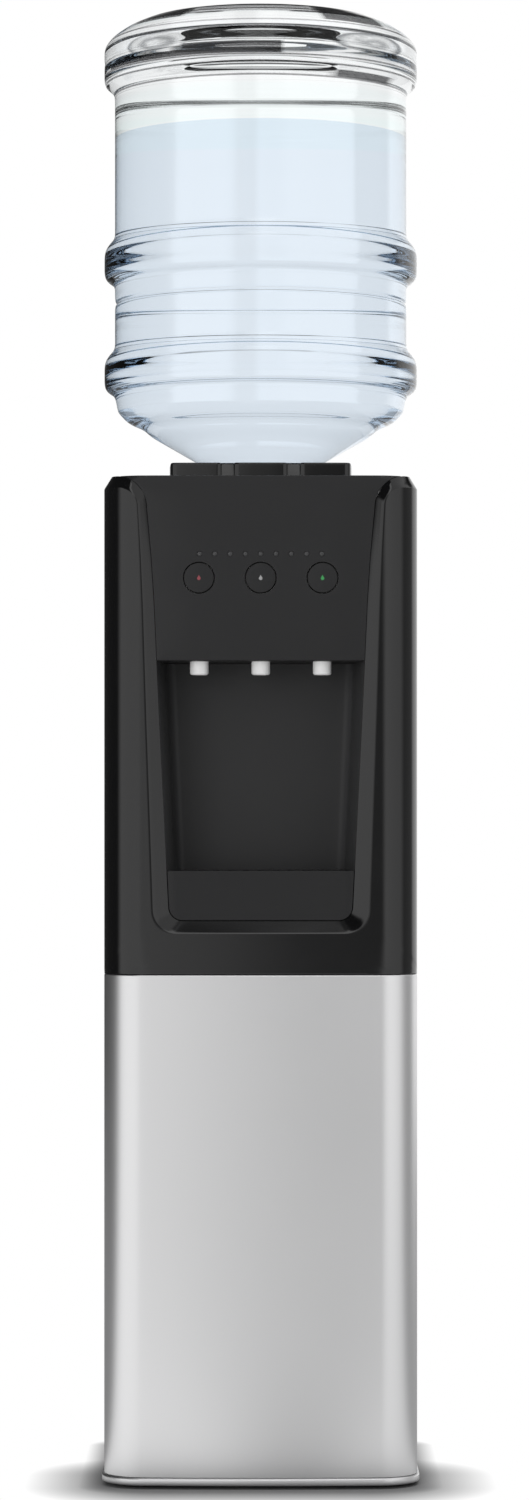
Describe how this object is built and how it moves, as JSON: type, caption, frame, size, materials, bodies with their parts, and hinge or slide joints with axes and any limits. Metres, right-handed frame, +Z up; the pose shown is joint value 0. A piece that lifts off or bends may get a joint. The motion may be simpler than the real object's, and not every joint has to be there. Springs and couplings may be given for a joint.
{
  "type": "water dispenser",
  "caption": "Free-standing water dispenser with an inverted refillable bottle, push buttons over an open alcove, a drip tray and a rear condenser.",
  "frame": {"origin": "on the floor under the middle of the cabinet", "axes": "+Z up, -Y towards the front with the alcove, +X to the right seen from the front"},
  "size_m": [0.2768, 0.29, 1.278],
  "materials": {
    "black_shell": "semi-gloss moulded",
    "black_panel": "gloss",
    "alcove_black": "fine matte",
    "silver_shell": "silver metallic paint",
    "white_plastic": "satin",
    "black_rubber": "matte",
    "sheet_steel": "galvanised",
    "tank_steel": "satin",
    "foam_grey": "foam",
    "hose_clear": "milky silicone",
    "copper": "drawn copper",
    "compressor_black": "semi-gloss black paint",
    "board_green": "coated",
    "window_grey": "translucent",
    "switch_red": "gloss",
    "switch_green": "gloss",
    "bottle_clear": "clear polycarbonate",
    "water_clear": "still water",
    "cap_blue": "satin"
  },
  "bodies": {
    "cabinet": {"base_pan": "silver_shell", "foot_front_left": "black_rubber", "foot_front_right": "black_rubber", "foot_rear_left": "black_rubber", "foot_rear_right": "black_rubber", "lower_front_panel": "silver_shell", "lower_left_side_panel": "silver_shell", "lower_right_side_panel": "silver_shell", "upper_left_side_panel": "black_shell", "upper_right_side_panel": "black_shell", "upper_front_bezel": "black_shell", "control_panel": "black_panel", "light_guide": "window_grey", "control_board": "board_green", "alcove_liner": "alcove_black", "hot_nozzle": "white_plastic", "hot_valve": "white_plastic", "hot_button_spring": "sheet_steel", "ambient_nozzle": "white_plastic", "ambient_valve": "white_plastic", "ambient_button_spring": "sheet_steel", "cold_nozzle": "white_plastic", "cold_valve": "white_plastic", "cold_button_spring": "sheet_steel", "top_cover": "black_shell", "bottle_seat": "black_shell", "feed_probe": "white_plastic", "cold_tank": "tank_steel", "cold_tank_jacket": "foam_grey", "tank_shelf": "sheet_steel", "mid_deck": "sheet_steel", "back_panel": "sheet_steel", "hot_tank": "tank_steel", "heater_band": "sheet_steel", "ambient_hose": "hose_clear", "cold_hose": "hose_clear", "hot_hose": "hose_clear", "hot_tank_feed_hose": "hose_clear", "drain_spout": "white_plastic", "drain_cap": "black_rubber", "compressor": "compressor_black", "condenser": "compressor_black", "discharge_pipe": "copper", "suction_pipe": "copper", "capillary_tube": "copper", "hot_switch_body": "black_panel", "cold_switch_body": "black_panel", "cord_gland": "black_rubber"},
    "hot_key": {"hot_button": "black_panel"},
    "ambient_key": {"ambient_button": "black_panel"},
    "cold_key": {"cold_button": "black_panel"},
    "tray": {"drip_tray": "black_shell"},
    "grille": {"drip_grille": "black_panel"},
    "bottle_load": {"bottle": "bottle_clear", "water": "water_clear", "bottle_cap": "cap_blue"},
    "hot_rocker": {"hot_switch_rocker": "switch_red"},
    "cold_rocker": {"cold_switch_rocker": "switch_green"}
  },
  "joints": [
    {"name": "hot_press", "type": "slide", "parent": "cabinet", "child": "hot_key", "axis": [0, 1, 0], "range_m": [0, 0.004], "stiffness_N_per_m": 600, "springref_m": -0.003, "deforming": ["hot_button_spring"]},
    {"name": "ambient_press", "type": "slide", "parent": "cabinet", "child": "ambient_key", "axis": [0, 1, 0], "range_m": [0, 0.004], "stiffness_N_per_m": 600, "springref_m": -0.003, "deforming": ["ambient_button_spring"]},
    {"name": "cold_press", "type": "slide", "parent": "cabinet", "child": "cold_key", "axis": [0, 1, 0], "range_m": [0, 0.004], "stiffness_N_per_m": 600, "springref_m": -0.003, "deforming": ["cold_button_spring"]},
    {"name": "tray_slide", "type": "slide", "parent": "cabinet", "child": "tray", "axis": [0, -1, 0], "range_m": [0, 0.1]},
    {"name": "grille_lift", "type": "slide", "parent": "tray", "child": "grille", "axis": [0, 0, 1], "range_m": [0, 0.03]},
    {"name": "bottle_lift", "type": "slide", "parent": "cabinet", "child": "bottle_load", "axis": [0, 0, 1], "range_m": [0, 0.12]},
    {"name": "hot_rock", "type": "hinge", "parent": "cabinet", "child": "hot_rocker", "pos_m": [-0.024, 0.1157, 0.66], "axis": [-1, 0, 0], "range_deg": [0, 16]},
    {"name": "cold_rock", "type": "hinge", "parent": "cabinet", "child": "cold_rocker", "pos_m": [0.024, 0.1157, 0.66], "axis": [-1, 0, 0], "range_deg": [0, 16]}
  ]
}
